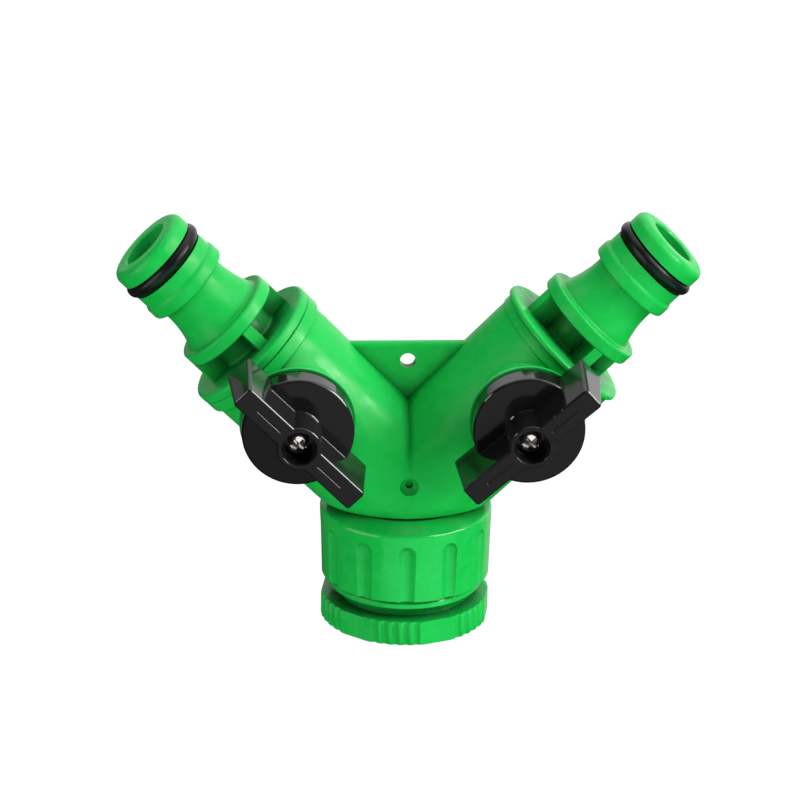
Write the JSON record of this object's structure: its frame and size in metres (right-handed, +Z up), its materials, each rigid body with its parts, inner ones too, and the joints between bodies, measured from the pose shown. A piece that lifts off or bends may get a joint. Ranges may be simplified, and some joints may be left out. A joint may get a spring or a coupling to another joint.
{
  "type": "hose splitter",
  "caption": "Garden hose splitter: a swivel threaded inlet with a removable thread reducer, slanted arms with quarter-turn valves and quick-connect nipples.",
  "frame": {"origin": "centre of the female inlet thread's mouth, at the bottom of the thread reducer", "axes": "+Z up along the inlet's axis, +X from the left nipple to the right one, knobs facing -Y"},
  "size_m": [0.1056, 0.0468, 0.078],
  "materials": {
    "green_body": "satin moulded plastic",
    "green_nipple": "satin moulded plastic",
    "green_collar": "satin moulded plastic",
    "green_reducer": "satin moulded plastic",
    "black_knob": "polished moulded plastic",
    "screw_steel": "bright plated steel",
    "black_rubber": "smooth rubber",
    "valve_plastic": "natural acetal",
    "seat_plastic": "white low-friction plastic",
    "tailpiece_green": "satin moulded plastic"
  },
  "bodies": {
    "body": {"y_body": "green_body", "inlet_tailpiece": "tailpiece_green", "inlet_washer": "black_rubber", "left_nipple": "green_nipple", "left_nipple_o_ring": "black_rubber", "left_inlet_seat": "seat_plastic", "left_outlet_seat": "seat_plastic", "right_nipple": "green_nipple", "right_nipple_o_ring": "black_rubber", "right_inlet_seat": "seat_plastic", "right_outlet_seat": "seat_plastic"},
    "left_valve": {"left_knob": "black_knob", "left_knob_screw": "screw_steel", "left_valve_stem": "valve_plastic", "left_stem_lower_o_ring": "black_rubber", "left_stem_upper_o_ring": "black_rubber", "left_valve_ball": "valve_plastic"},
    "right_valve": {"right_knob": "black_knob", "right_knob_screw": "screw_steel", "right_valve_stem": "valve_plastic", "right_stem_lower_o_ring": "black_rubber", "right_stem_upper_o_ring": "black_rubber", "right_valve_ball": "valve_plastic"},
    "collar": {"swivel_collar": "green_collar"},
    "reducer_carrier": {"reducer_washer": "black_rubber"},
    "reducer": {"thread_reducer": "green_reducer"}
  },
  "joints": [
    {"name": "left_valve_turn", "type": "hinge", "parent": "body", "child": "left_valve", "pos_m": [-0.0206, 0, 0.04573], "axis": [0, 1, 0], "range_deg": [0, 90]},
    {"name": "right_valve_turn", "type": "hinge", "parent": "body", "child": "right_valve", "pos_m": [0.0206, 0, 0.04573], "axis": [0, 1, 0], "range_deg": [-3.5, 86.5]},
    {"name": "collar_spin", "type": "hinge", "parent": "body", "child": "collar", "pos_m": [0, 0, 0.0222], "axis": [0, 0, 1], "continuous": true},
    {"name": "reducer_travel", "type": "slide", "parent": "collar", "child": "reducer_carrier", "axis": [0, 0, -1], "range_m": [0, 0.01]},
    {"name": "reducer_unscrew", "type": "hinge", "parent": "reducer_carrier", "child": "reducer", "pos_m": [0, 0, 0.0023], "axis": [0, 0, -1], "range_deg": [0, 1980]}
  ],
  "couplings": [
    {"joint": "reducer_travel", "follows": "reducer_unscrew", "m_per_rad": 0.00028871}
  ]
}
